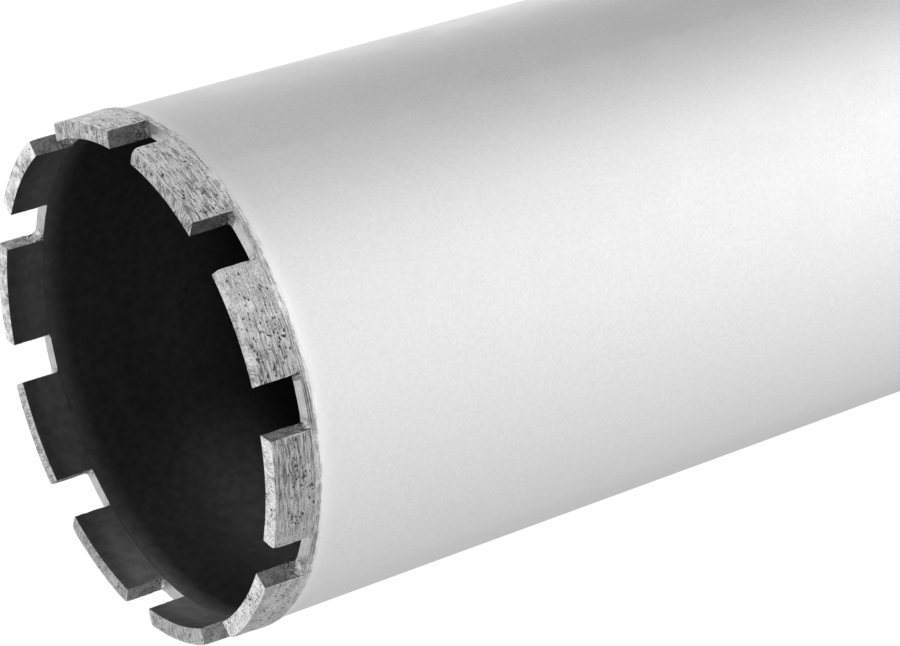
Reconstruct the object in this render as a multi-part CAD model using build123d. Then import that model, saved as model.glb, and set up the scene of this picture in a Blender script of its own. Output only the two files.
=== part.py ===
from build123d import *
import os
from math import cos, radians, sqrt, tan

# A diamond core bit for wet drilling, in millimetres.
# It stands crown up on its hub: z = 0 is the hub's end face, and +Z runs along the barrel to the crown.

# Crown: ten sintered segments on a carrier ring
crown_diameter = 112.0
segment_count = 10
segment_thickness = 3.85     # at its foot
segment_taper = 0.12         # the outer face leans in by this much from foot to tip
segment_height = 9.0
segment_length = 23.6        # chord between a segment's ends, at its outer face
segment_end_flare = 4.0      # degrees that each end leans away from the segment's centre line
segment_edge_break = 0.2
ring_grinding_depth = 0.08   # the ring's outer face lies this far inside the segments'
ring_inner_overhang = 0.45   # the segments stand this far into the bore past the ring
ring_band_height = 1.75
ring_step_height = 0.25      # behind the band, a steep step down to the barrel's face

# How each segment differs, in order round the crown: degrees off its even place, and added length
segment_offsets = (1.1, 1.3, -0.1, -0.6, -1.6, -0.4, 0.0, 0.3, 0.0, -1.5)
segment_extra_lengths = (0.0, 0.0, -0.2, 0.3, -0.5, 0.1, 0.5, 0.2, 0.0, -0.1)

# Filler metal under each segment, with the fillet radius at its two ends, in order round the crown
filler_thickness = 0.1
filler_edge = 0.08           # thickness left where a fillet runs out
fillets_before = (0.5, 1.3, 0.5, 0.4, 0.4, 0.6, 0.6, 0.9, 0.8, 0.9)
fillets_after = (0.4, 0.6, 0.4, 0.4, 0.7, 1.4, 1.2, 0.9, 0.5, 0.5)

# Barrel
barrel_step = 0.75           # the crown stands proud of the barrel by this much
working_length = 450.0       # from the end plate's inner face to the segments' tips
weld_groove = 1.4            # bevel on the barrel and on the plate, where they are welded together

# End plate, with a register that centres it in the barrel
plate_thickness = 8.0
register_depth = 3.0
register_clearance = 0.1
plate_edge_chamfer = 1.0

# Threaded hub, turned from hexagon bar: 1 1/4 inch, 7 threads an inch, female
hex_across_flats = 41.0
hex_height = 26.0
hex_chamfer_angle = 30.0
hex_face_inset = 0.75        # the turned end face lies inside the flats by this much
collar_diameter = 39.0
collar_height = 6.0
spigot_diameter = 36.0
spigot_clearance = 0.1
thread_minor_diameter = 28.2
thread_major_diameter = 31.75
thread_mouth_angle = 45.0

# Weld beads
rim_weld_crown = 0.35        # the rim bead's height over the barrel's face
hub_weld_leg = 4.5

# Worked out from the sizes above
crown_radius = crown_diameter / 2
segment_inner_radius = crown_radius - segment_thickness
ring_outer_radius = crown_radius - ring_grinding_depth
ring_inner_radius = segment_inner_radius + ring_inner_overhang
ring_height = ring_band_height + ring_step_height
barrel_outer_radius = crown_radius - barrel_step
barrel_inner_radius = ring_inner_radius

hub_height = hex_height + collar_height
plate_bottom = hub_height
barrel_bottom = plate_bottom + plate_thickness
register_top = barrel_bottom + register_depth
tip_level = register_top + working_length
segment_foot_level = tip_level - segment_height
ring_top = segment_foot_level - filler_thickness
ring_bottom = ring_top - ring_height
segment_pitch = 360 / segment_count


def face_of(points):
    """Closed flat outline through the points, in the plane that they lie in."""
    return make_face(Polyline(*points, close=True))


def turned(points):
    """Solid turned about the Z axis from points given as (radius, height)."""
    outline = face_of([(radius, 0, height) for radius, height in points])
    return revolve(outline, Axis.Z)


def tube(outer_radius, inner_radius, bottom, top):
    wall = Circle(outer_radius) - Circle(inner_radius)
    return Pos(0, 0, bottom) * extrude(wall, top - bottom)


def segment_corner(index):
    """Outer end corner of a segment that is centred on +X, as its x and y."""
    half_length = (segment_length + segment_extra_lengths[index % len(segment_extra_lengths)]) / 2
    return sqrt(crown_radius**2 - half_length**2), half_length


def segment_wedge(index, bottom, height):
    """Block between a segment's two end planes, for a segment that is centred on +X."""
    corner_x, corner_y = segment_corner(index)
    slope = tan(radians(segment_end_flare))
    inner_x = segment_inner_radius * cos(radians(segment_pitch / 2))
    outer_x = crown_radius + segment_thickness
    inner_y = corner_y + (inner_x - corner_x) * slope
    outer_y = corner_y + (outer_x - corner_x) * slope
    outline = face_of([(inner_x, -inner_y), (outer_x, -outer_y), (outer_x, outer_y), (inner_x, inner_y)])
    return Pos(0, 0, bottom) * extrude(outline, height)


def segment_angle(index):
    return index * segment_pitch + segment_offsets[index % len(segment_offsets)]


def segment(index):
    """One sintered segment: an arc of the crown, with flat ends and its tip edges broken."""
    body = turned([
        (segment_inner_radius, segment_foot_level),
        (crown_radius, segment_foot_level),
        (crown_radius - segment_taper, tip_level),
        (segment_inner_radius, tip_level),
    ])
    body = body & segment_wedge(index, segment_foot_level, segment_height)
    tip_edges = body.faces().sort_by(Axis.Z)[-1].edges()
    body = chamfer(tip_edges, segment_edge_break)
    return Rot(0, 0, segment_angle(index)) * body


def filler_fillet(index, radius):
    """Concave run of filler at the end of a segment that faces +Y, standing on the ring."""
    corner_x, corner_y = segment_corner(index)
    length = 2 * segment_thickness
    height = filler_thickness + radius
    width = filler_edge + radius
    block = Box(length, width, height, align=(Align.CENTER, Align.MIN, Align.MIN))
    hollow = Rot(0, 90, 0) * Cylinder(radius, 2 * length)
    block = block - Pos(0, width, height) * hollow
    place = Pos(corner_x, corner_y, ring_top) * Rot(0, 0, segment_end_flare)
    return place * block


def filler(index):
    """Filler metal of one segment: the layer under its foot and the fillet at each end."""
    before = fillets_before[index % len(fillets_before)]
    after = fillets_after[index % len(fillets_after)]
    height = filler_thickness + max(before, after)
    body = segment_wedge(index, ring_top, filler_thickness)
    body = body + filler_fillet(index, after) + mirror(filler_fillet(index, before), Plane.XZ)
    body = body & tube(ring_outer_radius, ring_inner_radius, ring_top, ring_top + height)
    return Rot(0, 0, segment_angle(index)) * body


def crown_ring():
    """Carrier ring: a ground band, and a steep step behind it down to the barrel."""
    return turned([
        (ring_inner_radius, ring_bottom),
        (barrel_outer_radius, ring_bottom),
        (ring_outer_radius, ring_bottom + ring_step_height),
        (ring_outer_radius, ring_top),
        (ring_inner_radius, ring_top),
    ])


def barrel():
    """Tube with its rear edge bevelled for the rim weld."""
    return turned([
        (barrel_inner_radius, barrel_bottom),
        (barrel_outer_radius - weld_groove, barrel_bottom),
        (barrel_outer_radius, barrel_bottom + weld_groove),
        (barrel_outer_radius, ring_bottom),
        (barrel_inner_radius, ring_bottom),
    ])


def end_plate():
    """Turned plate that closes the barrel, bored for the hub's spigot."""
    bore_radius = spigot_diameter / 2 + spigot_clearance
    register_radius = barrel_inner_radius - register_clearance
    return turned([
        (bore_radius, plate_bottom),
        (barrel_outer_radius - plate_edge_chamfer, plate_bottom),
        (barrel_outer_radius, plate_bottom + plate_edge_chamfer),
        (barrel_outer_radius, barrel_bottom - weld_groove),
        (barrel_outer_radius - weld_groove, barrel_bottom),
        (register_radius, barrel_bottom),
        (register_radius, register_top),
        (bore_radius, register_top),
    ])


def threaded_hub():
    """Hexagon with a turned collar and spigot, bored through at the thread's minor diameter."""
    face_radius = hex_across_flats / 2 - hex_face_inset
    corner_radius = hex_across_flats / 2 / cos(radians(30))
    chamfer_rise = (corner_radius - face_radius) * tan(radians(hex_chamfer_angle))
    envelope = turned([
        (0, 0),
        (face_radius, 0),
        (corner_radius, chamfer_rise),
        (corner_radius, hex_height - chamfer_rise),
        (face_radius, hex_height),
        (0, hex_height),
    ])
    hexagon = extrude(RegularPolygon(hex_across_flats / 2, 6, major_radius=False), hex_height)
    body = hexagon & envelope
    body += Pos(0, 0, hex_height) * Cylinder(
        collar_diameter / 2, collar_height, align=(Align.CENTER, Align.CENTER, Align.MIN)
    )
    body += Pos(0, 0, hub_height) * Cylinder(
        spigot_diameter / 2, register_top - hub_height, align=(Align.CENTER, Align.CENTER, Align.MIN)
    )
    return body - thread_bore()


def thread_bore():
    """Bore at the thread's minor diameter, with a lead-in cone at each mouth."""
    minor_radius = thread_minor_diameter / 2
    mouth_radius = thread_major_diameter / 2
    mouth_depth = (mouth_radius - minor_radius) / tan(radians(thread_mouth_angle))
    return turned([
        (0, 0),
        (mouth_radius, 0),
        (minor_radius, mouth_depth),
        (minor_radius, register_top - mouth_depth),
        (mouth_radius, register_top),
        (0, register_top),
    ])


def rim_weld():
    """Bead that fills the bevels of barrel and plate, with a low crest along its middle."""
    return turned([
        (barrel_outer_radius - weld_groove, barrel_bottom),
        (barrel_outer_radius, barrel_bottom - weld_groove),
        (barrel_outer_radius + rim_weld_crown, barrel_bottom),
        (barrel_outer_radius, barrel_bottom + weld_groove),
    ])


def hub_weld():
    """Flat fillet bead between the hub's collar and the plate."""
    collar_radius = collar_diameter / 2
    return turned([
        (collar_radius, plate_bottom),
        (collar_radius, plate_bottom - hub_weld_leg),
        (collar_radius + hub_weld_leg, plate_bottom),
    ])


def write(solid, node):
    export_step(solid, f"parts/{node}.step")


os.makedirs("parts", exist_ok=True)
write(barrel(), "barrel")
write(crown_ring(), "crown_ring")
for number in range(segment_count):
    write(segment(number), f"segment_{number + 1:02d}")
    write(filler(number), f"filler_{number + 1:02d}")
write(end_plate(), "end_plate")
write(threaded_hub(), "threaded_hub")
write(rim_weld(), "rim_weld")
write(hub_weld(), "hub_weld")
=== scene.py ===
from math import cos, pi, radians, sin, sqrt, tan, tau

import bmesh
import bpy
import numpy as np
from mathutils import Matrix, Vector


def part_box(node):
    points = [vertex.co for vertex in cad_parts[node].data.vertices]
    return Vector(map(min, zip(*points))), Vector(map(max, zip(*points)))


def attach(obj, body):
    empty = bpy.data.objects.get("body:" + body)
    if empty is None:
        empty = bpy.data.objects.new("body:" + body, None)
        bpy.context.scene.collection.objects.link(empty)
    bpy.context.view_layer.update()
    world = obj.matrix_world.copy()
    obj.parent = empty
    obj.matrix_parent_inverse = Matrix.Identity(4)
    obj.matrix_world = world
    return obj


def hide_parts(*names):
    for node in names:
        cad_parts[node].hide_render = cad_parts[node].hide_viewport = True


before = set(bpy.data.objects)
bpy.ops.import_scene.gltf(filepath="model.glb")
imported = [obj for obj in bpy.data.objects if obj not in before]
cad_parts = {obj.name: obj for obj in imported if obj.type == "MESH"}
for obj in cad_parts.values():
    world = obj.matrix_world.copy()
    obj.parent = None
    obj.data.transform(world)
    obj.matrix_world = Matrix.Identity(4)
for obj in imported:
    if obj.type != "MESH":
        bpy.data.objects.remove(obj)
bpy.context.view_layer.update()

# Sizes in metres, from the frame's boxes or else as the solids have them
mm = 0.001

crown_radius = 56.0 * mm
segment_count = 10
segment_thickness = 3.85 * mm
segment_taper = 0.12 * mm
segment_length = 23.6 * mm
segment_end_flare = radians(4.0)
segment_inner_radius = crown_radius - segment_thickness
face_skin = 0.02 * mm        # a point this near to a face of a segment lies on it
foot_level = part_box("segment_01")[0].z
tip_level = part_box("segment_01")[1].z

# What differs from segment to segment, in order round the crown; before and after are its two ends.
# Places in degrees off the even ones, then added lengths, worn corners and fillet radii in millimetres
offset_degrees = (1.1, 1.3, -0.1, -0.6, -1.6, -0.4, 0.0, 0.3, 0.0, -1.5)
extra_lengths = (0.0, 0.0, -0.2, 0.3, -0.5, 0.1, 0.5, 0.2, 0.0, -0.1)
tip_drops = (0.0, 0.0, 0.0, 0.0, 0.0, 0.0, 0.0, 0.3, 0.0, 0.0)
wear_before = (0.5, 0.2, 0.2, 0.2, 0.2, 0.3, 0.3, 0.15, 0.2, 0.9)
wear_after = (0.2, 0.2, 0.2, 0.2, 0.3, 0.6, 0.5, 0.1, 0.7, 0.2)
fillets_before = (0.5, 1.3, 0.5, 0.4, 0.4, 0.6, 0.6, 0.9, 0.8, 0.9)
fillets_after = (0.4, 0.6, 0.4, 0.4, 0.7, 1.4, 1.2, 0.9, 0.5, 0.5)
# Share of a fillet that never flowed to the bore side
fillets_missing_before = (0.0, 0.0, 0.0, 0.0, 0.0, 0.0, 0.0, 0.95, 0.3, 0.5)
fillets_missing_after = (0.0, 0.0, 0.0, 0.0, 0.0, 0.5, 0.9, 0.3, 0.0, 0.0)
# Grinding marks: their strength, their rise towards the end after, and marks and stains at the tip
scratching = (0.5, 0.5, 0.3, 0.3, 0.4, 0.15, 0.3, 0.2, 0.9, 0.25)
lining = (0.4, 0.3, 0.4, 0.4, 0.4, 0.14, 0.75, 0.6, 0.6, 0.15)
mark_tilts = (0.0, 0.0, 0.0, 0.0, 0.0, 0.0, 0.6, -0.75, -0.2, 0.0)
tip_marks = (0.35, 0.6, 1.0, 1.0, 1.0, 1.4, 0.5, 0.6, 1.3, 3.6)
tip_stains = (3.0, 2.0, 1.4, 1.0, 1.2, 0.9, 0.9, 1.5, 2.6, 1.6)
# How bright the painted highlight along its edges is
edge_highlights = (1.0, 1.0, 1.0, 1.0, 1.0, 1.0, 1.0, 1.0, 1.2, 2.0)
# Pits on the outer face and the tip, and how the former crowd towards the end after
pit_counts = (25, 20, 25, 25, 30, 55, 60, 200, 75, 35)
tip_pit_counts = (8, 6, 8, 8, 10, 20, 14, 6, 14, 10)
pit_tilts = (0.0, 0.0, 0.0, 0.0, 0.0, 0.0, 0.0, -0.5, -0.4, 0.0)
# Brightness of each outer face and its rise towards the end after, and of its tip; painted light and
# shade on its ends; painted shade and painted highlights on its fillets
face_levels = (1.0, 1.0, 1.0, 1.0, 0.95, 1.0, 0.71, 0.86, 1.23, 1.24)
face_tilts = (0.0, 0.0, 0.0, 0.0, 0.0, 0.0, -0.16, 0.25, 0.25, 0.05)
tip_levels = (1.31, 1.29, 0.91, 0.72, 0.74, 1.36, 1.34, 0.98, 0.68, 0.82)
end_light_before = (0.62, 2.2, 1.0, 1.0, 1.0, 1.0, 1.0, 0.2, 0.21, 0.36)
end_light_after = (0.7, 1.0, 1.0, 0.64, 0.8, 0.58, 1.0, 1.0, 1.0, 1.0)
fillet_shade_before = (0.8, 1.0, 1.0, 1.0, 1.0, 1.0, 1.0, 0.6, 0.5, 0.5)
fillet_shines_before = (0.0, 1.0, 0.0, 0.0, 0.0, 0.0, 0.0, 0.0, 0.0, 0.0)
fillet_shines_after = (0.0, 0.0, 0.0, 0.0, 0.0, 0.7, 0.5, 0.9, 0.0, 0.0)

ring_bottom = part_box("crown_ring")[0].z
ring_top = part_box("crown_ring")[1].z
ring_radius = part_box("crown_ring")[1].x
ring_inner_radius = segment_inner_radius + 0.45 * mm
ring_step = 0.25 * mm

barrel_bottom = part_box("barrel")[0].z
barrel_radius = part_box("barrel")[1].x
weld_groove = 1.4 * mm

plate_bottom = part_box("end_plate")[0].z
plate_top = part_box("end_plate")[1].z
plate_bore_radius = 18.1 * mm
plate_edge_chamfer = 1.0 * mm
register_radius = ring_inner_radius - 0.1 * mm

hub_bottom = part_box("threaded_hub")[0].z
hub_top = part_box("threaded_hub")[1].z
hex_height = 26.0 * mm
hex_across_flats = 41.0 * mm
hex_face_radius = 19.75 * mm
hex_chamfer_angle = radians(30)
collar_radius = 19.5 * mm
spigot_radius = 18.0 * mm
hub_weld_leg = 4.5 * mm
thread_minor_radius = 14.1 * mm
thread_major_radius = 15.875 * mm
thread_pitch = 25.4 / 7 * mm


# Noise and mesh helpers

class Roughness:
    """Smooth random heights from -1 to 1 over points in space, the same on each run."""

    def __init__(self, seed, cells=32):
        self.cells = cells
        self.table = np.random.default_rng(seed).uniform(-1, 1, (cells, cells, cells))

    def __call__(self, points, size):
        """Heights at points, with bumps about size across, which is one length or three."""
        place = points / np.asarray(size)
        cell = np.floor(place).astype(int)
        part = place - cell
        part = part * part * (3 - 2 * part)
        total = np.zeros(len(points))
        for corner in np.ndindex(2, 2, 2):
            weight = np.prod(np.where(corner, part, 1 - part), axis=1)
            index = (cell + corner) % self.cells
            total += weight * self.table[index[:, 0], index[:, 1], index[:, 2]]
        return total


def smooth_step(value, low, high):
    share = np.clip((value - low) / (high - low), 0, 1)
    return share * share * (3 - 2 * share)


def dense(corners, spacings):
    """Closed outline through the corners, with points no further apart than each side's spacing."""
    points = []
    for index, corner in enumerate(corners):
        following = corners[(index + 1) % len(corners)]
        start, end = Vector(corner), Vector(following)
        count = max(1, round((end - start).length / spacings[index]))
        points += [start.lerp(end, step / count) for step in range(count)]
    return points


def spun(outline, steps, angle):
    """Mesh of a closed outline of (radius, height) points, spun part of the way about Z."""
    bm = bmesh.new()
    loop = [bm.verts.new((radius, 0, height)) for radius, height in outline]
    edges = [bm.edges.new((loop[index - 1], vert)) for index, vert in enumerate(loop)]
    bmesh.ops.spin(bm, geom=loop + edges, cent=(0, 0, 0), axis=(0, 0, 1), dvec=(0, 0, 0),
                   angle=angle, steps=steps, use_merge=False, use_duplicate=False)
    return bm


def turned(outline, steps, sectors=36):
    """Mesh of a closed outline, turned all the way about Z: one sector, repeated and joined."""
    bm = spun(outline, steps // sectors, tau / sectors)
    sector = bpy.data.meshes.new("sector")
    bm.to_mesh(sector)
    step = Matrix.Rotation(tau / sectors, 4, "Z")
    for _ in range(sectors - 1):
        sector.transform(step)
        bm.from_mesh(sector)
    bpy.data.meshes.remove(sector)
    bmesh.ops.remove_doubles(bm, verts=bm.verts, dist=0.002 * mm)
    return bm


def finish_mesh(bm, name, materials, sharp_angle=35):
    """Object of a finished bmesh, smooth but for edges sharper than the angle."""
    bmesh.ops.recalc_face_normals(bm, faces=bm.faces)
    mesh = bpy.data.meshes.new(name)
    bm.to_mesh(mesh)
    bm.free()
    return finish_piece(mesh, name, materials, sharp_angle)


def finish_piece(mesh, name, materials, sharp_angle):
    """Object of a finished mesh, with its materials."""
    mesh.shade_smooth()
    mesh.set_sharp_from_angle(angle=radians(sharp_angle))
    for material in materials:
        mesh.materials.append(material)
    piece = bpy.data.objects.new(name, mesh)
    bpy.context.scene.collection.objects.link(piece)
    return piece


def points_of(bm):
    return np.array([vert.co[:] for vert in bm.verts])


def place_points(bm, points):
    for vert, point in zip(bm.verts, points):
        vert.co = point


def polar(points):
    return np.hypot(points[:, 0], points[:, 1]), np.arctan2(points[:, 1], points[:, 0]), points[:, 2]


def from_polar(radius, angle, height):
    return np.column_stack((radius * np.cos(angle), radius * np.sin(angle), height))


def round_axis(radius, angle, height=0.0):
    """Points on one cylinder round the axis, where a noise is read."""
    return from_polar(np.full_like(angle, radius), angle, height + np.zeros_like(angle))


def add_attributes(piece, **attributes):
    """Value or vector for each point of the piece, for its materials to read."""
    for name, values in attributes.items():
        values = np.asarray(values, np.float32)
        kind, key = ("FLOAT_VECTOR", "vector") if values.ndim == 2 else ("FLOAT", "value")
        layer = piece.data.attributes.new(name, kind, "POINT")
        layer.data.foreach_set(key, values.ravel())


def paint_faces(piece, choose):
    """Gives each face the material number that choose returns for its centre's polar place."""
    faces = piece.data.polygons
    centres = np.empty(len(faces) * 3)
    faces.foreach_get("center", centres)
    numbers = choose(*polar(centres.reshape(-1, 3)))
    faces.foreach_set("material_index", np.asarray(numbers, np.int32))


# Node helpers

def fill(tree, node, inputs):
    """Sets or links a node's inputs, given as {socket name or number: value or socket}."""
    for socket, value in inputs.items():
        if isinstance(value, bpy.types.NodeSocket):
            tree.links.new(value, node.inputs[socket])
        else:
            node.inputs[socket].default_value = value


def add(tree, kind, inputs=None, **settings):
    """New node with its settings and inputs."""
    node = tree.nodes.new(kind)
    for key, value in settings.items():
        setattr(node, key, value)
    fill(tree, node, inputs or {})
    return node


def feed(tree, node, **inputs):
    """Sets or links inputs that are written with an underscore for each space in their names."""
    fill(tree, node, {name.replace("_", " "): value for name, value in inputs.items()})


def math(tree, operation, *values):
    return add(tree, "ShaderNodeMath", dict(enumerate(values)), operation=operation).outputs[0]


def spread(tree, value, low, high, to_low=0.0, to_high=1.0):
    """Value from low to high stretched smoothly to the new limits."""
    inputs = {"Value": value, "From Min": low, "From Max": high, "To Min": to_low, "To Max": to_high}
    return add(tree, "ShaderNodeMapRange", inputs, interpolation_type="SMOOTHSTEP").outputs[0]


def clamped(tree, value):
    return add(tree, "ShaderNodeClamp", {"Value": value}).outputs[0]


def blend_value(tree, share, first, second):
    return add(tree, "ShaderNodeMix", {0: share, 2: first, 3: second}, data_type="FLOAT").outputs[0]


def blend_colour(tree, share, first, second):
    return add(tree, "ShaderNodeMix", {0: share, 6: first, 7: second}, data_type="RGBA").outputs[2]


def grey(level):
    return (level, level, level, 1)


def split(tree, vector):
    return add(tree, "ShaderNodeSeparateXYZ", {"Vector": vector}).outputs


def join(tree, x, y, z):
    return add(tree, "ShaderNodeCombineXYZ", {"X": x, "Y": y, "Z": z}).outputs[0]


def object_place(tree):
    return add(tree, "ShaderNodeTexCoord").outputs["Object"]


def from_axis(tree, part):
    """Distance from the Z axis of a place that is split into its parts."""
    flat = join(tree, part["X"], part["Y"], 0.0)
    return add(tree, "ShaderNodeVectorMath", {0: flat}, operation="LENGTH").outputs["Value"]


def attribute(tree, name):
    return add(tree, "ShaderNodeAttribute", attribute_name=name).outputs["Fac"]


def noise(tree, place, **settings):
    """Noise centred on zero."""
    node = add(tree, "ShaderNodeTexNoise", {"Vector": place, **settings})
    return math(tree, "SUBTRACT", node.outputs["Fac"], 0.5)


def widened(tree, centred, contrast):
    """Noise centred on zero made a tone from 0 to 1."""
    return clamped(tree, math(tree, "MULTIPLY_ADD", centred, contrast, 0.5))


def bump(tree, height, depth, under=None):
    inputs = {"Height": height, "Distance": depth}
    if under is not None:
        inputs["Normal"] = under
    return add(tree, "ShaderNodeBump", inputs).outputs["Normal"]


# Effects that the materials share

def new_group(name, inputs, outputs):
    """Node group with float inputs as {name: default} and float outputs: its tree and its two ends."""
    tree = bpy.data.node_groups.new(name, "ShaderNodeTree")
    for label, default in inputs.items():
        socket = tree.interface.new_socket(label, in_out="INPUT", socket_type="NodeSocketFloat")
        socket.default_value = default
    for label in outputs:
        tree.interface.new_socket(label, in_out="OUTPUT", socket_type="NodeSocketFloat")
    return tree, tree.nodes.new("NodeGroupInput").outputs, tree.nodes.new("NodeGroupOutput").inputs


def use_group(tree, group, **inputs):
    node = add(tree, "ShaderNodeGroup", node_tree=group)
    feed(tree, node, **inputs)
    return node.outputs


def grain_group():
    """Even grain from 0 to 1, of a given size in millimetres."""
    tree, given, put_out = new_group(
        "fine grain", {"Size mm": 0.5, "Detail": 3.0, "Contrast": 1.0}, ("Grain",))
    scale = math(tree, "DIVIDE", 1000.0, given["Size mm"])
    bumps = noise(tree, object_place(tree), Scale=scale, Detail=given["Detail"])
    tree.links.new(widened(tree, bumps, given["Contrast"]), put_out["Grain"])
    return tree


def turning_group():
    """Lines that run round the Z axis, from 0 to 1: grinding or turning marks."""
    tree, given, put_out = new_group(
        "marks round the axis", {"Line mm": 0.2, "Length mm": 12.0, "Contrast": 2.0}, ("Lines",))
    part = split(tree, object_place(tree))
    along = math(tree, "DIVIDE", 1000.0, given["Length mm"])
    across = math(tree, "DIVIDE", 1000.0, given["Line mm"])
    level = math(tree, "ADD", part["Z"], from_axis(tree, part))
    x, y = (math(tree, "MULTIPLY", part[axis], along) for axis in "XY")
    stretched = join(tree, x, y, math(tree, "MULTIPLY", level, across))
    lines = noise(tree, stretched, Scale=1.0, Detail=3.0, Roughness=0.6)
    tree.links.new(widened(tree, lines, given["Contrast"]), put_out["Lines"])
    return tree


def worked_group():
    """Marks of grinding and of use on a segment, in its own unbent frame of arc, radius and height.

    Across is 0 where the marks run along the arc, and 1 where they run across it, as on the tip.
    """
    tree, given, put_out = new_group(
        "worked face", {"Lines": 0.5, "Scratches": 0.5, "Stains": 1.0, "Across": 0.0},
        ("Tone", "Bright", "Dark"))
    place = add(tree, "ShaderNodeAttribute", attribute_name="unbent").outputs["Vector"]
    part = split(tree, place)
    sway = add(tree, "ShaderNodeTexNoise", {"Vector": place, "Scale": 1000 / 5.0, "Detail": 1.0})
    sway = sway.outputs["Fac"]
    level = math(tree, "MULTIPLY_ADD", sway, 0.9 * mm, math(tree, "ADD", part["Y"], part["Z"]))
    bent = math(tree, "MULTIPLY_ADD", sway, 3.0 * mm, part["X"])
    along = blend_value(tree, given["Across"], part["X"], math(tree, "MULTIPLY", part["Y"], 1.3))
    crossing = blend_value(tree, given["Across"], level, bent)

    def marks(length, width, start, detail):
        """Noise drawn out to marks of this length and width in millimetres; start picks the pattern."""
        stretched = join(tree, math(tree, "MULTIPLY", along, 1000 / length),
                         math(tree, "MULTIPLY", crossing, 1000 / width), start)
        return noise(tree, stretched, Scale=1.0, Detail=detail, Roughness=0.55)

    def patches(size, detail):
        return noise(tree, place, Scale=1000 / size, Detail=detail)

    tone = math(tree, "MULTIPLY_ADD", patches(0.4, 2.0), 1.1, 0.5)
    for name, pattern, strength in (("Lines", marks(3.2, 0.27, 1.5, 1.0), 2.3),
                                    ("Scratches", marks(2.4, 0.36, 4.5, 2.0), 1.5),
                                    ("Stains", patches(2.6, 3.0), 0.75)):
        tone = math(tree, "MULTIPLY_ADD", pattern, math(tree, "MULTIPLY", given[name], strength), tone)
    tree.links.new(clamped(tree, tone), put_out["Tone"])
    bright = spread(tree, marks(2.4, 0.26, 9.5, 1.0), 0.09, 0.17)
    dark = spread(tree, marks(1.6, 0.26, 14.5, 1.0), 0.15, 0.22)
    for name, streaks in (("Bright", bright), ("Dark", dark)):
        tree.links.new(math(tree, "MULTIPLY", streaks, given["Scratches"]), put_out[name])
    return tree


grain = grain_group()
turning = turning_group()
worked = worked_group()


def grained(tree, size, detail, contrast):
    """Grain of this size in millimetres."""
    return use_group(tree, grain, Size_mm=size, Detail=detail, Contrast=contrast)["Grain"]


def lined(tree, width, length, contrast):
    """Lines round the axis, of this width and length in millimetres."""
    return use_group(tree, turning, Line_mm=width, Length_mm=length, Contrast=contrast)["Lines"]


# Materials

def new_material(name):
    material = bpy.data.materials.new(name)
    material.use_nodes = True
    tree = material.node_tree
    return material, tree, tree.nodes["Principled BSDF"]


def silver_paint():
    """Fine silver paint, with drawn-out streaks where it frays at the ground band."""
    material, tree, shader = new_material("silver_paint")
    flake = grained(tree, 0.22, 2.0, 2.2)
    fleck = grained(tree, 0.7, 2.5, 3.0)
    peel = grained(tree, 1.6, 3.0, 1.6)
    cloud = grained(tree, 9.0, 4.0, 1.5)
    drawn = lined(tree, 0.16, 3.5, 6.0)
    frayed = attribute(tree, "frayed")
    tone = blend_value(tree, 0.5, blend_value(tree, 0.25, flake, cloud), fleck)
    film = blend_colour(tree, tone, grey(0.735), grey(0.845))
    # Painted highlight: the paint lighter towards the crown's ring
    painted_halo = math(tree, "MULTIPLY", attribute(tree, "rim"), 0.6)
    film = blend_colour(tree, painted_halo, film, grey(0.93))
    streaks = blend_colour(tree, drawn, grey(0.36), grey(0.98))
    skin = bump(tree, peel, 0.012 * mm)
    flakes = bump(tree, flake, 0.004 * mm, under=skin)
    torn = bump(tree, math(tree, "MULTIPLY", drawn, frayed), 0.02 * mm, under=flakes)
    feed(tree, shader, Base_Color=blend_colour(tree, frayed, film, streaks), Metallic=0.8,
         Roughness=spread(tree, cloud, 0.2, 0.8, 0.40, 0.46), Normal=torn)
    return material


def bore_level(tree):
    """Grey of the bore: raw dark steel, made near black so that it also carries the bore's painted
    shade, and lifted by painted light where its attribute says.
    """
    scale = grained(tree, 2.0, 5.0, 2.0)
    raw = spread(tree, scale, 0.0, 1.0, 0.005, 0.009)
    painted_lit_grey = spread(tree, scale, 0.0, 1.0, 0.25, 0.35)
    return blend_value(tree, attribute(tree, "gleam"), raw, painted_lit_grey)


def dark_inside():
    """Raw tube wall inside, dark and dull, made near black so that the bore's shade is painted in."""
    material, tree, shader = new_material("dark_inside")
    scale = grained(tree, 0.3, 3.0, 1.5)
    feed(tree, shader, Base_Color=bore_level(tree), Roughness=spread(tree, scale, 0, 1, 0.65, 0.85),
         Metallic=0.0, Specular_IOR_Level=0.1, Normal=bump(tree, scale, 0.03 * mm))
    return material


def ground_steel():
    """Band ground round the axis, with dark wavy grooves and a painted highlight along its edge at the
    paint.
    """
    material, tree, shader = new_material("ground_steel")
    lines = blend_value(tree, 0.5, lined(tree, 0.2, 3.5, 3.0), lined(tree, 0.45, 6.0, 2.6))
    mottle = grained(tree, 0.5, 3.0, 2.8)
    stain = grained(tree, 2.2, 3.0, 2.4)
    tone = blend_value(tree, 0.5, lines, blend_value(tree, 0.5, mottle, stain))
    calm = math(tree, "MULTIPLY", attribute(tree, "calm"), 0.6)
    tone = blend_value(tree, calm, tone, 0.55)
    plain = math(tree, "MULTIPLY", spread(tree, tone, 0.2, 0.8, 0.30, 0.82), attribute(tree, "level"))
    grooved = blend_value(tree, attribute(tree, "groove"), plain, 0.02)
    # Painted highlight along the lip where the band meets the paint
    colour = math(tree, "MINIMUM", blend_value(tree, attribute(tree, "burr"), grooved, 0.98), 0.98)
    scored = bump(tree, lines, 0.02 * mm)
    feed(tree, shader, Base_Color=colour, Roughness=spread(tree, mottle, 0, 1, 0.42, 0.6), Metallic=1.0,
         Normal=bump(tree, mottle, 0.02 * mm, under=scored))
    return material


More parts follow.
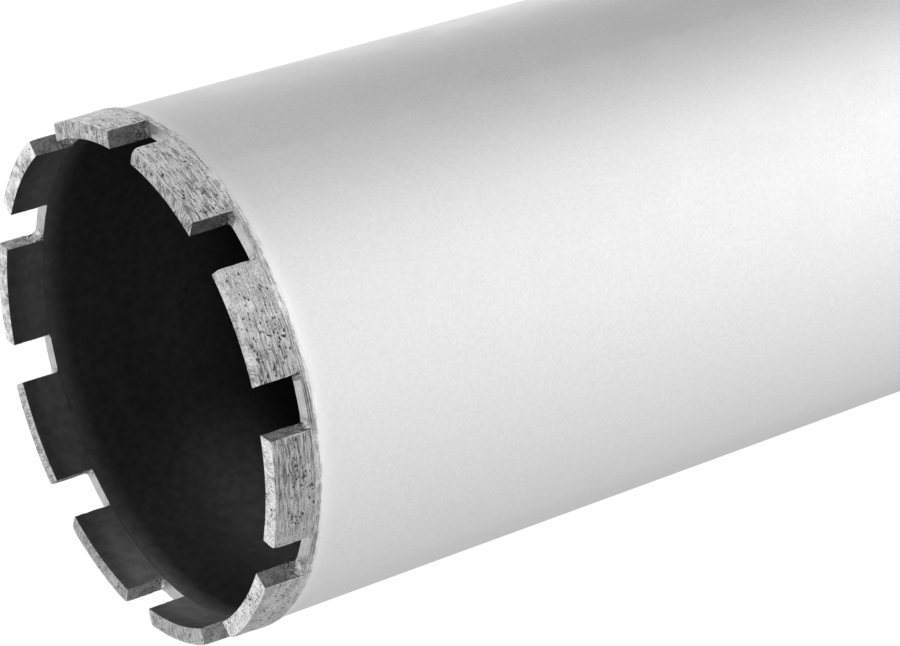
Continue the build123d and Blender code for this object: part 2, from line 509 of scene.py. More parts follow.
def sintered_metal():
    """Ground and scratched outside and at the tip, raw at the ends, dark in the bore."""
    material, tree, shader = new_material("sintered_metal")
    ground = attribute(tree, "ground")
    level = attribute(tree, "level")
    hollow = attribute(tree, "pit")
    marks = use_group(tree, worked, Lines=attribute(tree, "lines"), Stains=attribute(tree, "stains"),
                      Scratches=attribute(tree, "scratches"), Across=attribute(tree, "tip"))
    mottle = grained(tree, 0.4, 4.0, 2.6)
    wide = grained(tree, 1.8, 4.0, 2.4)

    face = spread(tree, marks["Tone"], 0.0, 1.0, 0.20, 0.86)
    face = blend_value(tree, marks["Dark"], face, 0.16)
    face = blend_value(tree, marks["Bright"], face, 0.97)
    face = blend_value(tree, hollow, math(tree, "MULTIPLY", face, level), 0.04)
    # Painted highlight along the edges
    face = blend_value(tree, attribute(tree, "edge"), face, 0.95)

    upper_end = spread(tree, blend_value(tree, 0.5, wide, mottle), 0.2, 0.8, 0.10, 0.26)
    rough_foot = spread(tree, mottle, 0.25, 0.75, 0.03, 0.36)
    ends = blend_value(tree, attribute(tree, "foot"), upper_end, rough_foot)
    # The level on the ends paints in light and shade
    ends = math(tree, "MULTIPLY_ADD", ends, level, 0.01)
    # Inner faces take the bore's grey, with its painted light and shade
    unground = blend_value(tree, attribute(tree, "inner"), ends, bore_level(tree))
    colour = math(tree, "MINIMUM", blend_value(tree, ground, unground, face), 0.98)

    rough = blend_value(tree, ground, 0.75, spread(tree, mottle, 0, 1, 0.34, 0.5))
    bare = math(tree, "SUBTRACT", 1.0, math(tree, "MULTIPLY", hollow, 0.6))
    ridges = math(tree, "MULTIPLY_ADD", marks["Bright"], 1.8, marks["Tone"])
    relief = math(tree, "SUBTRACT", ridges, math(tree, "MULTIPLY", marks["Dark"], 0.5))
    scratched = bump(tree, math(tree, "MULTIPLY", relief, ground), 0.02 * mm)
    feed(tree, shader, Base_Color=colour, Roughness=rough, Metallic=math(tree, "MULTIPLY", ground, bare),
         Specular_IOR_Level=0.1, Normal=bump(tree, mottle, 0.02 * mm, under=scratched))
    return material


def filler_metal():
    """Flowed filler, mottled and lumpy, with painted shade and painted highlights where its attributes
    say.
    """
    material, tree, shader = new_material("filler_metal")
    mottle = grained(tree, 0.35, 4.0, 3.2)
    tone = blend_value(tree, 0.45, mottle, grained(tree, 1.2, 4.0, 3.0))
    # The level paints in shade on darker fillets
    plain = math(tree, "MULTIPLY", spread(tree, tone, 0.0, 1.0, 0.14, 0.85), attribute(tree, "level"))
    # Painted highlight where its attribute says
    feed(tree, shader, Base_Color=blend_value(tree, attribute(tree, "shine"), plain, 0.98),
         Roughness=spread(tree, mottle, 0, 1, 0.38, 0.6), Metallic=1.0,
         Normal=bump(tree, mottle, 0.08 * mm))
    return material


def hub_steel():
    """Turned steel with fine tool marks and a little staining."""
    material, tree, shader = new_material("hub_steel")
    fine = lined(tree, 0.14, 40.0, 2.4)
    stain = grained(tree, 6.0, 5.0, 2.0)
    tone = blend_value(tree, 0.5, blend_value(tree, 0.4, fine, grained(tree, 0.4, 3.0, 2.0)), stain)
    feed(tree, shader, Base_Color=blend_colour(tree, tone, grey(0.36), grey(0.62)), Metallic=1.0,
         Roughness=spread(tree, stain, 0, 1, 0.28, 0.42), Normal=bump(tree, fine, 0.012 * mm))
    return material


def weld_metal():
    """Bare weld bead, sooty in patches."""
    material, tree, shader = new_material("weld_metal")
    soot = grained(tree, 3.0, 5.0, 2.4)
    speck = grained(tree, 0.3, 3.0, 2.0)
    colour = blend_colour(tree, blend_value(tree, 0.5, soot, speck), grey(0.22), grey(0.55))
    feed(tree, shader, Base_Color=colour, Roughness=spread(tree, soot, 0, 1, 0.28, 0.5),
         Metallic=1.0, Normal=bump(tree, speck, 0.02 * mm))
    return material


paint = silver_paint()
inside = dark_inside()
steel = ground_steel()
sinter = sintered_metal()
solder = filler_metal()
machined = hub_steel()
weld = weld_metal()

waves = Roughness(7)
specks = Roughness(11)


# Pieces

def bore_gleam(angle, height):
    """Painted light on the bore: a soft lit band near the crown, fainter ones further in, strongest on
    the side the light falls on, and a rise deep inside.
    """
    depth = (tip_level - height) / mm
    turn = np.degrees(angle) % 360
    lit = smooth_step(turn, 72, 140) * (1 - smooth_step(turn, 230, 300))
    near = 0.09 + 0.05 * np.exp(-(angle / radians(22)) ** 2) + 0.64 * lit ** 2
    near = near * (0.55 + 0.45 * smooth_step(depth, 0.8, 5.5)) * (1 - smooth_step(depth, 8.0, 14.5))
    middle = (0.008 + 0.09 * lit) * smooth_step(depth, 10, 15) * (1 - smooth_step(depth, 22, 30))
    far = (0.03 + 0.57 * lit) * smooth_step(depth, 19, 42) * (1 - smooth_step(depth, 46, 60))
    deep = 0.2 * smooth_step(depth, 125, 220)
    return near + middle + far + deep


def paint_edge(angle):
    """Level at which the paint gives way to the ground band."""
    around = round_axis(crown_radius, angle)
    return ring_top - 1.45 * mm + (0.12 * waves(around, 4 * mm) + 0.08 * specks(around, 1.1 * mm)) * mm


def fraying(angle, height):
    """How torn the paint's edge is, from 0 to 1, falling away from the band."""
    around = round_axis(crown_radius, angle)
    torn = smooth_step(waves(around, 7 * mm) + 0.5 * specks(around, 2 * mm), -0.25, 0.75)
    scraped = np.exp(-((np.degrees(angle) % 360 - 236) / 9) ** 2)
    below = np.maximum(paint_edge(angle) - height, 0)
    return np.maximum(torn, scraped) * np.exp(-(below / ((0.75 + 0.35 * scraped) * mm)) ** 2)


def barrel_tube():
    """Tube, painted outside and dark inside, with the film's soft edge at the crown."""
    film_edge = 0.05 * mm
    corners = [
        (ring_inner_radius, barrel_bottom),
        (barrel_radius - weld_groove, barrel_bottom),
        (barrel_radius, barrel_bottom + weld_groove),
        (barrel_radius, ring_bottom - 5 * mm),
        (barrel_radius, ring_bottom),
        (ring_inner_radius, ring_bottom),
        (ring_inner_radius, ring_bottom - 60 * mm),
    ]
    bm = turned(dense(corners, (3 * mm, mm, 20 * mm, 0.25 * mm, 1.5 * mm, 3 * mm, 30 * mm)), 720)
    radius, angle, height = polar(points_of(bm))
    outer = radius > barrel_radius - 0.01 * mm
    below_ring = ring_bottom - height
    bead = np.exp(-(below_ring / (0.7 * mm)) ** 2)
    uneven = waves(round_axis(barrel_radius, angle, height), (2.5 * mm, 2.5 * mm, 9 * mm))
    radius += outer * bead * film_edge * (1 + 0.8 * uneven)
    place_points(bm, from_polar(radius, angle, height))
    piece = finish_mesh(bm, "barrel_tube", (paint, inside))
    middle = (barrel_radius + ring_inner_radius) / 2
    paint_faces(piece, lambda radius, angle, height: radius < middle)
    # The bore's painted light is among these attributes
    add_attributes(piece, frayed=outer * fraying(angle, height), gleam=bore_gleam(angle, height),
                   # Where the painted highlight on the paint near the ring lies
                   rim=outer * np.exp(-(below_ring / (2.2 * mm)) ** 2))
    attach(piece, "root")
    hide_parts("barrel")


def ground_grooves(angle, height):
    """Wavy grooves in the ring's band, from 0 to 1, deepest in the slots that scraped."""
    levels_below_top = (0.02, 0.34, 0.62, 0.95)
    scraped_slots = {234: 1.0, 270: 0.8, 199: 0.6}
    around = round_axis(ring_radius, angle)
    turn = np.degrees(angle) % 360
    groove = np.zeros_like(angle)
    for number, below in enumerate(levels_below_top):
        shifted = around + (0, 0, (3 + 7 * number) * mm)
        line = ring_top - below * mm + 0.16 * mm * waves(shifted, 4.5 * mm)
        present = smooth_step(specks(shifted, 4.0 * mm) + 0.4 * waves(shifted, 1.2 * mm), -0.05, 0.55)
        for slot, share in scraped_slots.items():
            present = np.maximum(present, share * np.exp(-((turn - slot) / 6.5) ** 4))
        groove = np.maximum(groove, present * np.exp(-((height - line) / (0.1 * mm)) ** 2))
    return groove * (0.65 + 0.4 * np.exp(-((turn - 234) / 14) ** 2))


def carrier_ring():
    """Ring under the segments: ground round its band, painted on the step behind."""
    corners = [
        (ring_inner_radius, ring_bottom),
        (barrel_radius, ring_bottom),
        (ring_radius, ring_bottom + ring_step),
        (ring_radius, ring_top),
        (ring_inner_radius, ring_top),
    ]
    bm = turned(dense(corners, (0.9 * mm, 0.12 * mm, 0.08 * mm, 0.2 * mm, 0.4 * mm)), 1440)
    points = points_of(bm)
    radius, angle, height = polar(points)
    turn = np.degrees(angle) % 360
    on_band = smooth_step(radius, ring_radius - 0.02 * mm, ring_radius - 0.005 * mm)
    groove = on_band * ground_grooves(angle, height)
    left_proud = 0.17 * mm * np.exp(-((turn - 333) / 18) ** 2)
    radius += on_band * left_proud
    lumps = specks(round_axis(ring_radius, angle, height), (1.4 * mm, 1.4 * mm, 0.5 * mm))
    radius -= on_band * (0.05 * mm * groove + 0.02 * mm * (1 + lumps))
    on_top = smooth_step(height, ring_top - 0.01 * mm, ring_top - 0.001 * mm)
    height -= on_top * 0.025 * mm * (1 + waves(points, 0.7 * mm))
    rounding = 0.08 * mm * np.exp(-(ring_radius - radius + ring_top - height) / (0.12 * mm))
    radius -= rounding
    place_points(bm, from_polar(radius, angle, height))
    piece = finish_mesh(bm, "carrier_ring", (steel, paint, inside))

    def choose(radius, angle, height):
        bore = radius < ring_inner_radius + 0.05 * mm
        return np.where(bore, 2, height < paint_edge(angle))

    paint_faces(piece, choose)
    around = round_axis(ring_radius, angle)
    present = smooth_step(waves(around, 2.2 * mm) + 0.6 * specks(around, 0.7 * mm), -0.1, 0.5)
    levels = {0: 1.0, 150: 1.0, 180: 1.08, 216: 1.0, 234: 1.0, 252: 1.2, 288: 1.4, 324: 1.25, 360: 1.0}
    level = np.interp(turn, list(levels), list(levels.values()))
    level = 1 + (level - 1) * (1 - 0.6 * on_top)
    edge = paint_edge(angle)
    add_attributes(piece, groove=groove, calm=on_top, level=level,
                   # Painted highlight along the paint's edge
                   burr=on_band * present * np.exp(-((height - edge) / (0.10 * mm)) ** 2),
                   frayed=fraying(angle, height) * (height < edge),
                   # The painted highlight covers the ring's painted step
                   rim=np.ones_like(radius), gleam=bore_gleam(angle, height))
    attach(piece, "root")
    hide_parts("crown_ring")


def end_angle(index, radius):
    """Half angle that a segment spans at a radius, from its outer corner and its ends' lean."""
    half_length = (segment_length + extra_lengths[index] * mm) / 2
    corner_x = sqrt(crown_radius ** 2 - half_length ** 2)
    offset = (half_length - corner_x * tan(segment_end_flare)) * cos(segment_end_flare)
    return segment_end_flare + np.arcsin(offset / radius)


def segment_angle(index):
    """Where the middle of a segment stands round the crown."""
    return radians(360 / segment_count * index + offset_degrees[index])


def segment_blank():
    """Closed block in even rows: its mesh, and each point's radius, share of half arc and height."""
    sweep = 2.0
    bm = bmesh.new()
    bmesh.ops.create_grid(bm, x_segments=30, y_segments=75, size=0.5)
    for vert in bm.verts:
        radius = segment_inner_radius + (vert.co.x + 0.5) * segment_thickness
        vert.co = (radius, 0, foot_level + (vert.co.y + 0.5) * (tip_level - foot_level))
    bmesh.ops.spin(bm, geom=bm.verts[:] + bm.edges[:] + bm.faces[:], cent=(0, 0, 0), axis=(0, 0, 1),
                   dvec=(0, 0, 0), angle=sweep, steps=130, use_merge=False, use_duplicate=False)
    bmesh.ops.recalc_face_normals(bm, faces=bm.faces)
    mesh = bpy.data.meshes.new("segment_blank")
    bm.to_mesh(mesh)
    radius, angle, height = polar(points_of(bm))
    bm.free()
    return mesh, radius, 2 * angle / sweep - 1.0, height


def scattered_pits(chance, count, along, across, length, width, tilt=0.0):
    """Depth from 0 to 1 of small pits over a face, mostly in groups; tilt crowds them to one end."""
    depth = np.zeros_like(along)
    centre = np.zeros(2)
    for _ in range(count):
        if chance.uniform() < 0.45:
            centre = np.array((chance.uniform(-0.5, 0.5) * length, chance.uniform(0.03, 0.97) * width))
        else:
            centre = centre + chance.normal(0, 1, 2) * (1.2 * mm, 0.6 * mm)
        size = chance.uniform(0.13, 0.23) * mm
        long = chance.uniform(1.0, 1.6)
        gap = np.hypot((along - centre[0]) / (size * long), (across - centre[1]) / size)
        kept = chance.uniform() < 1 - abs(tilt) + 2 * tilt * centre[0] / length
        depth = np.maximum(depth, np.clip(1.35 - gap, 0, 1) * chance.uniform(0.6, 1.0) * kept)
    return depth


def segment(index, blank):
    """Sintered segment: scratched and pitted where ground, raw at its ends and inside."""
    blank_mesh, radius, share, height = blank
    half = end_angle(index, radius)
    arc = share * half * crown_radius
    place = np.column_stack((arc, radius, height))
    spot = place + (index * 40 * mm, 0, 0)

    # How far inside each face a point lies, and a fade from 1 on the face inwards
    to_outer = crown_radius - radius
    to_inner = radius - segment_inner_radius
    to_tip = tip_level - height
    to_foot = height - foot_level
    to_end = (1 - np.abs(share)) * half * radius
    gaps = (to_outer, to_inner, to_tip, to_foot, to_end)
    outer, inner, tip, foot, end = (np.exp(-gap / (0.14 * mm)) for gap in gaps)
    on_outer = to_outer < face_skin
    on_tip = to_tip < face_skin
    on_end = to_end < face_skin

    # What is missing: crumbs off the edges, a worn corner at each end, pits and plain unevenness
    chip = waves(spot, 0.7 * mm) * 0.7 + specks(spot, 0.3 * mm) * 0.3
    corners = outer * tip + outer * end + tip * end + inner * tip + inner * end
    crumbs = (0.02 + 0.12 * np.clip(chip - 0.1, 0, 1)) * np.clip(corners, 0, 1) * mm
    wear = np.where(share < 0, wear_before[index], wear_after[index]) * mm
    worn_corner = np.exp(-(to_end + to_tip + to_outer) / (0.5 * mm)) * wear
    chance = np.random.default_rng(50 + index)
    length = 2 * end_angle(index, crown_radius) * crown_radius
    face_pits = scattered_pits(chance, pit_counts[index], arc, to_foot, length, tip_level - foot_level,
                               pit_tilts[index])
    tip_pits = scattered_pits(chance, tip_pit_counts[index], arc, to_inner, length, segment_thickness)
    pit = np.maximum(face_pits * outer, tip_pits * tip * (to_outer > 0.1 * mm))
    rough = (0.012 + 0.01 * specks(spot, (8 * mm, 0.25 * mm, 0.2 * mm))) * (outer + tip)
    raw = (end + inner) * (0.02 + 0.02 * waves(spot, 0.6 * mm))
    foot_zone = smooth_step(2.9 * mm + 0.4 * mm * waves(spot, mm) - to_foot, -0.5 * mm, 0.8 * mm)
    lumps = end * foot_zone * 0.07 * (1 + specks(spot, 0.5 * mm))
    depth = crumbs + worn_corner + (rough + raw + lumps + 0.11 * pit) * mm

    # Each point moves in by its depth, then leans with the taper and drops with the worn tip
    inward = np.column_stack((-np.sign(share) * end, inner - outer, foot - tip))
    inward /= np.maximum(np.linalg.norm(inward, axis=1), 1e-9)[:, None]
    place = place + inward * depth[:, None]
    risen = to_foot / (tip_level - foot_level)
    place[:, 1] -= segment_taper * risen * to_inner / segment_thickness
    place[:, 2] -= tip_drops[index] * mm * risen
    points = from_polar(place[:, 1], place[:, 0] / crown_radius + segment_angle(index), place[:, 2])

    mesh = blank_mesh.copy()
    mesh.name = f"segment_{index + 1:02d}_sintered"
    mesh.vertices.foreach_set("co", points.ravel())
    mesh.update()
    piece = finish_piece(mesh, mesh.name, (sinter,), sharp_angle=50)

    # What its material reads
    angle = polar(points)[1]
    # Where the painted highlight along the edges lies
    near_edge = np.exp(-(to_outer + to_tip) / (0.16 * mm))
    near_edge = np.maximum(near_edge, np.exp(-(to_end + np.minimum(to_outer, to_tip)) / (0.13 * mm)))
    patchy = smooth_step(waves(spot, 2.0 * mm) + 0.5 * specks(spot, 0.6 * mm), -0.5, 0.6)
    face_level = face_levels[index] * (1 + face_tilts[index] * share)
    on_tip_face = on_tip & (to_outer > 0.06 * mm)
    level = np.where(on_tip_face, tip_levels[index], face_level)
    # Ends take painted light and shade from their levels
    painted_end_light = np.where(share < 0, end_light_before[index], end_light_after[index])
    level = np.where(on_end & ~on_tip & ~on_outer, painted_end_light, level)
    marking = (1 + mark_tilts[index] * share) * np.where(on_tip_face, tip_marks[index], 1)
    add_attributes(piece, unbent=spot, ground=on_outer | on_tip, tip=on_tip_face,
                   inner=(to_inner < face_skin) & ~on_tip & ~on_end,
                   foot=foot_zone,
                   pit=smooth_step(pit, 0.03, 0.38),
                   edge=np.clip(0.85 * edge_highlights[index] * near_edge * patchy, 0, 0.95),
                   gleam=bore_gleam(angle, height),
                   level=level,
                   lines=lining[index] * marking,
                   scratches=scratching[index] * marking,
                   stains=np.where(on_tip_face, tip_stains[index], 1))
    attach(piece, "root")
    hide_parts(f"segment_{index + 1:02d}")


def filler(index):
    """Filler metal of one segment: a thin layer under its foot and a lumpy fillet at each end."""
    inset = 0.4 * mm
    before = np.arange(-inset, fillets_before[index] * mm + inset, 0.07 * mm)
    after = np.arange(-inset, fillets_after[index] * mm + inset, 0.07 * mm)
    columns = [(-1, beyond) for beyond in before[::-1]]
    columns += [(0, share) for share in np.linspace(-1, 1, 12)]
    columns += [(1, beyond) for beyond in after]

    # A block of a millimetre's height, one row of points for each column, that is bent to its place
    sweep = 2.0
    depth = ring_radius - ring_inner_radius
    corners = [(mm, 0), (mm + depth, 0), (mm + depth, mm), (mm, mm)]
    outline = dense(corners, (0.3 * mm, 0.5 * mm, 0.13 * mm, 0.5 * mm))
    bm = spun(outline, len(columns) - 1, sweep)
    bmesh.ops.holes_fill(bm, edges=[edge for edge in bm.edges if edge.is_boundary], sides=0)
    across, turn, up = polar(points_of(bm))
    column = np.rint(turn / sweep * (len(columns) - 1)).astype(int)
    radius = ring_inner_radius + across - mm
    half = end_angle(index, radius)
    side, value = np.array(columns)[column].T
    inside_end = half - inset / radius
    angle = np.where(side == 0, value * inside_end, side * (half + value / radius))
    beyond = np.where(side == 0, -mm, value)
    under_foot = beyond < -0.12 * mm

    # The layer's even top and the fillets' falling, lumpy one
    size = np.where(side < 0, fillets_before[index], fillets_after[index]) * mm
    spot = np.column_stack((angle * crown_radius + index * 40 * mm, radius, np.zeros_like(radius)))
    size = size * (1 + 0.3 * waves(spot, 1.3 * mm))
    run = np.clip(1 - np.maximum(beyond, 0) / (size + 0.3 * mm), 0, 1)
    to_face = np.minimum(ring_radius - radius, radius - ring_inner_radius)
    soft = 1 - 0.4 * np.exp(-to_face / (0.3 * mm))
    missing = np.where(side < 0, fillets_missing_before[index], fillets_missing_after[index])
    flowed = smooth_step(radius, ring_inner_radius + 0.6 * mm, ring_inner_radius + 2.4 * mm)
    soft = soft * (1 - missing * (1 - flowed))
    fillet = (size + 0.1 * mm) * run ** 2.2 * soft * (1 + 0.25 * specks(spot, 0.45 * mm))
    layer = foot_level + 0.02 * mm - ring_top
    top = np.where(under_foot, layer, np.maximum(fillet, 0.015 * mm))
    bottom = ring_top - 0.06 * mm
    height = bottom + (ring_top + top - bottom) * up / mm
    gap = smooth_step(waves(spot, 2.4 * mm), 0.0, 0.5) * under_foot
    radius = np.minimum(radius, ring_radius - (0.03 + 0.2 * gap) * mm)
    place_points(bm, from_polar(radius, angle + segment_angle(index), height))
    piece = finish_mesh(bm, f"filler_{index + 1:02d}_flowed", (solder,), sharp_angle=60)

    # Painted shade in the gap where a fillet is missing and on darker fillets, and a painted highlight
    # where one is smooth
    past_end = np.maximum(beyond, 0)
    # Painted shade in the gap at the end, where the fillet is missing
    seam = missing * np.exp(-(past_end / (0.22 * mm)) ** 2) * (beyond > -0.15 * mm)
    fade = smooth_step(past_end, size + 0.1 * mm, size + 0.4 * mm)
    level = np.where(side < 0, fillet_shade_before[index], 1.0)
    level = (level + (1 - level) * fade) * (1 - 0.9 * seam)
    middle = (ring_radius + ring_inner_radius) / 2
    spread_out = ((past_end - 0.55 * size) / (0.35 * mm)) ** 2 + ((radius - middle) / (0.9 * mm)) ** 2
    shine = np.where(side < 0, fillet_shines_before[index], fillet_shines_after[index]) * (side != 0)
    add_attributes(piece, level=level, shine=shine * np.exp(-spread_out))
    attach(piece, "root")
    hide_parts(f"filler_{index + 1:02d}")


def end_plate():
    """Turned end plate with tool marks on its face."""
    corners = [
        (plate_bore_radius, plate_bottom),
        (barrel_radius - plate_edge_chamfer, plate_bottom),
        (barrel_radius, plate_bottom + plate_edge_chamfer),
        (barrel_radius, barrel_bottom - weld_groove),
        (barrel_radius - weld_groove, barrel_bottom),
        (register_radius, barrel_bottom),
        (register_radius, plate_top),
        (plate_bore_radius, plate_top),
    ]
    bm = turned(dense(corners, (0.5 * mm, 0.5 * mm, mm, mm, mm, mm, 4 * mm, 4 * mm)), 360)
    radius, angle, height = polar(points_of(bm))
    face = (height < plate_bottom + 0.01 * mm) & (radius > plate_bore_radius + 0.1 * mm)
    tool_marks = 0.02 * mm * (1 + np.cos(6.2 * radius / mm))
    height += face * tool_marks
    place_points(bm, from_polar(radius, angle, height))
    piece = finish_mesh(bm, "end_plate_turned", (paint, inside))
    paint_faces(piece, lambda radius, angle, height: height > barrel_bottom + 0.1 * mm)
    # Even painted light on the plate's inner face
    add_attributes(piece, gleam=np.full_like(radius, 0.5))
    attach(piece, "root")
    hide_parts("end_plate")


def thread_radius(angle, height):
    """Radius of the hub's bore: a seven-to-the-inch thread between the cones at its mouths."""
    turn = np.mod(height / thread_pitch - angle / tau, 1.0)
    flank = np.abs(turn - 0.5) * 2
    depth = smooth_step(flank, 0.14, 0.86)
    groove = thread_minor_radius + (thread_major_radius - thread_minor_radius) * depth
    to_mouth = np.minimum(height - hub_bottom, hub_top - height)
    return np.maximum(groove, thread_major_radius - to_mouth)


def hub():
    """Hexagon with a collar and spigot, threaded right through."""
    corner_radius = hex_across_flats / 2 / cos(tau / 12)
    rise = (corner_radius - hex_face_radius) * tan(hex_chamfer_angle)
    thread_row = 0.17 * mm
    corners = [
        (thread_major_radius, hub_bottom),
        (hex_face_radius, hub_bottom),
        (corner_radius, hub_bottom + rise),
        (corner_radius, hex_height - rise),
        (hex_face_radius, hex_height),
        (collar_radius, hex_height),
        (collar_radius, plate_bottom),
        (spigot_radius, plate_bottom),
        (spigot_radius, hub_top),
        (thread_major_radius, hub_top),
    ]
    fine = 0.25 * mm
    bm = turned(dense(corners, (mm, fine, 2 * mm, fine, mm, mm, mm, 2 * mm, mm, thread_row)), 216)
    radius, angle, height = polar(points_of(bm))
    sixth = np.mod(angle, tau / 6) - tau / 12
    flat_radius = hex_across_flats / 2 / np.cos(sixth)
    on_hex = (radius > hex_face_radius + 0.05 * mm) & (height < hex_height)
    radius = np.where(on_hex, np.minimum(radius, flat_radius), radius)
    bore = radius < thread_major_radius + 0.01 * mm
    bore &= (height > hub_bottom) & (height < hub_top)
    radius = np.where(bore, thread_radius(angle, height), radius)
    place_points(bm, from_polar(radius, angle, height))
    piece = finish_mesh(bm, "hub_threaded", (machined,))
    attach(piece, "root")
    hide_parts("threaded_hub")


def bead_outline(root, start, end, bulge):
    """Outline of a weld bead: its root, and a crest that bulges off the line between its toes."""
    start, end, bulge = Vector(start), Vector(end), Vector(bulge)
    shares = [step / 14 for step in range(15)]
    return [root] + [start.lerp(end, share) + sin(pi * share) * bulge for share in shares]


def bead_ripples(points, count, lag):
    """Ripples round a weld bead, each from 0 to 1; lag curves them."""
    angle = polar(points)[1]
    return np.mod(angle / tau * count + lag + 0.1 * waves(points, 4 * mm), 1.0)


def hub_fillet():
    """Fillet bead between collar and plate."""
    slant = cos(radians(45))
    crown = 0.35 * mm * slant
    bm = turned(bead_outline((collar_radius, plate_bottom), (collar_radius + hub_weld_leg, plate_bottom),
                             (collar_radius, plate_bottom - hub_weld_leg), (crown, -crown)), 900)
    points = points_of(bm)
    radius, angle, height = polar(points)
    off_root = (radius - collar_radius) + (plate_bottom - height) > 0.5 * mm
    share = np.clip((radius - collar_radius) / hub_weld_leg, 0, 1)
    ripple = bead_ripples(points, 96, 0.35 * (2 * share - 1) ** 2)
    fall = 0.22 * mm * (1 - ripple) * np.sin(pi * share) * off_root
    radius -= fall * slant
    height += fall * slant
    place_points(bm, from_polar(radius, angle, height))
    piece = finish_mesh(bm, "hub_fillet_bead", (weld,), sharp_angle=60)
    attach(piece, "root")
    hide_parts("hub_weld")


def rim_bead():
    """Low bead between barrel and end plate, under the paint."""
    crown = 0.33 * mm
    bm = turned(bead_outline((barrel_radius - weld_groove, barrel_bottom),
                             (barrel_radius, barrel_bottom - weld_groove),
                             (barrel_radius, barrel_bottom + weld_groove), (crown, 0)), 1440)
    points = points_of(bm)
    radius, angle, height = polar(points)
    share = (height - barrel_bottom) / weld_groove
    ripple = bead_ripples(points, 230, 0.3 * share ** 2)
    proud = radius > barrel_radius + 0.01 * mm
    radius -= proud * 0.12 * mm * (1 - ripple) * np.clip(1 - share ** 2, 0, 1)
    place_points(bm, from_polar(radius, angle, height))
    piece = finish_mesh(bm, "rim_bead", (paint,), sharp_angle=60)
    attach(piece, "root")
    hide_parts("rim_weld")


barrel_tube()
carrier_ring()
blank = segment_blank()
for number in range(segment_count):
    segment(number, blank)
    filler(number)
bpy.data.meshes.remove(blank[0])
end_plate()
hub()
hub_fillet()
rim_bead()


# Studio: floor, light and camera

def mix_shaders(tree, share, first, second):
    inputs = {0: share, 1: first.outputs[0], 2: second.outputs[0]}
    return add(tree, "ShaderNodeMixShader", inputs)


def studio_floor():
    """Pale floor: white to the camera but for the shadow, and in reflections as the studio round it."""
    bm = bmesh.new()
    bmesh.ops.create_grid(bm, x_segments=1, y_segments=1, size=6.0)
    mesh = bpy.data.meshes.new("floor")
    bm.to_mesh(mesh)
    bm.free()
    material = bpy.data.materials.new("pale_floor")
    material.use_nodes = True
    tree = material.node_tree
    tree.nodes.clear()
    part = split(tree, object_place(tree))
    turn = math(tree, "DIVIDE", math(tree, "ARCTAN2", part["Y"], part["X"]), tau)
    ramp = add(tree, "ShaderNodeValToRGB", {"Fac": math(tree, "ADD", turn, 0.5)})
    set_ramp(ramp, reflected_levels())
    mean_level = 0.62
    distance = from_axis(tree, part)
    falling = math(tree, "MAXIMUM", math(tree, "MULTIPLY_ADD", distance, -1.4, 1.98), 0.3)
    contrast = math(tree, "MINIMUM", falling, math(tree, "MULTIPLY_ADD", distance, 6.2, 0.25))
    off_mean = math(tree, "SUBTRACT", ramp.outputs["Color"], mean_level)
    level = math(tree, "MULTIPLY_ADD", off_mean, contrast, mean_level)
    mirrored = add(tree, "ShaderNodeEmission", {"Color": level, "Strength": 1.0})
    white = add(tree, "ShaderNodeEmission", {"Color": grey(1), "Strength": 0.85})
    pale = add(tree, "ShaderNodeBsdfDiffuse", {"Color": grey(0.8)})
    shaded = add(tree, "ShaderNodeBsdfDiffuse", {"Color": grey(0.35)})
    seen = add(tree, "ShaderNodeAddShader", {0: white.outputs[0], 1: shaded.outputs[0]})
    ways = add(tree, "ShaderNodeLightPath").outputs
    reflected = math(tree, "MAXIMUM", ways["Is Glossy Ray"], ways["Is Transmission Ray"])
    direct = mix_shaders(tree, ways["Is Camera Ray"], pale, seen)
    surface = mix_shaders(tree, reflected, direct, mirrored)
    add(tree, "ShaderNodeOutputMaterial", {"Surface": surface.outputs[0]})
    mesh.materials.append(material)
    floor = bpy.data.objects.new("floor", mesh)
    bpy.context.scene.collection.objects.link(floor)


def reflected_levels():
    """Brightness of the floor in reflections, by the direction from the bit in degrees."""
    camera_side = -112.3
    by_offset = {-150: 0.58, -110: 0.71, -60: 0.95, -20: 1.19, 10: 1.25, 35: 1.14, 60: 0.68,
                 85: 0.42, 110: 0.46, 120: 0.60, 132: 0.98, 144: 1.38, 160: 1.44, 185: 0.75}
    levels = {}
    for offset, level in by_offset.items():
        direction = (camera_side + offset + 180) % 360
        levels[direction / 360] = level
    return levels


def set_ramp(ramp, levels):
    """Fills a colour ramp that joins up at its ends."""
    places = sorted(levels)
    span = places[0] + 1 - places[-1]
    share = (1 - places[-1]) / span
    seam = levels[places[-1]] * (1 - share) + levels[places[0]] * share
    stops = [(0.0, seam)] + [(place, levels[place]) for place in places] + [(1.0, seam)]
    elements = ramp.color_ramp.elements
    elements[0].position, elements[0].color = stops[0][0], grey(stops[0][1])
    elements[1].position, elements[1].color = stops[-1][0], grey(stops[-1][1])
    for place, level in stops[1:-1]:
        elements.new(place).color = grey(level)


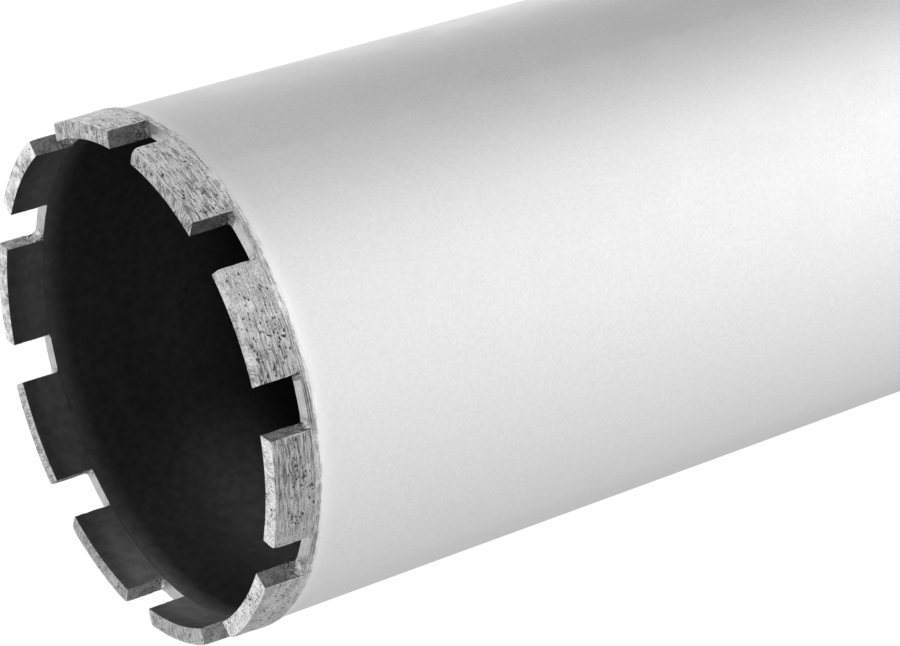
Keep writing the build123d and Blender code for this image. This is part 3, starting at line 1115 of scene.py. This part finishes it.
def studio_world():
    """Even soft light, with a white background."""
    world = bpy.data.worlds.new("studio")
    world.use_nodes = True
    tree = world.node_tree
    tree.nodes.clear()
    ways = add(tree, "ShaderNodeLightPath").outputs
    direct = math(tree, "MAXIMUM", ways["Is Camera Ray"], ways["Is Transmission Ray"])
    soft = add(tree, "ShaderNodeBackground", {"Color": grey(1), "Strength": 0.45})
    mirrored = add(tree, "ShaderNodeBackground", {"Color": grey(1), "Strength": 0.9})
    white = add(tree, "ShaderNodeBackground", {"Color": grey(1), "Strength": 1.0})
    lighting = mix_shaders(tree, ways["Is Glossy Ray"], soft, mirrored)
    surface = mix_shaders(tree, direct, lighting, white)
    add(tree, "ShaderNodeOutputWorld", {"Surface": surface.outputs[0]})
    bpy.context.scene.world = world


def soft_lamp(name, place, aim, size, watts):
    """Round area lamp that only lights: it isn't seen or mirrored."""
    light = bpy.data.lights.new(name, "AREA")
    light.shape = "DISK"
    light.size = size
    light.energy = watts
    lamp = bpy.data.objects.new(name, light)
    lamp.location = place
    lamp.rotation_euler = (Vector(aim) - Vector(place)).to_track_quat("-Z", "Y").to_euler()
    bpy.context.scene.collection.objects.link(lamp)
    lamp.visible_camera = False
    lamp.visible_glossy = False


def photo_camera():
    """Camera at the photo's view, as fitted to the crown's rim and the barrel's edges."""
    data = bpy.data.cameras.new("photo_camera")
    data.sensor_width = 36.0
    data.lens = 136.05
    data.clip_start = 0.01
    right = Vector((-0.46391, -0.33807, -0.81884))
    up = Vector((0.82778, -0.49468, -0.26473))
    back = right.cross(up)
    turn = Matrix((right, up, back)).transposed()
    camera = bpy.data.objects.new("photo_camera", data)
    camera.matrix_world = Matrix.Translation((-0.2401, -0.5874, 0.7912)) @ turn.to_4x4()
    bpy.context.scene.collection.objects.link(camera)
    bpy.context.scene.camera = camera


studio_floor()
studio_world()
soft_lamp("key", place=(-0.9, -1.3, 1.2), aim=(0, 0, 0.3), size=1.4, watts=26)
photo_camera()
bpy.context.scene.view_settings.view_transform = "Standard"
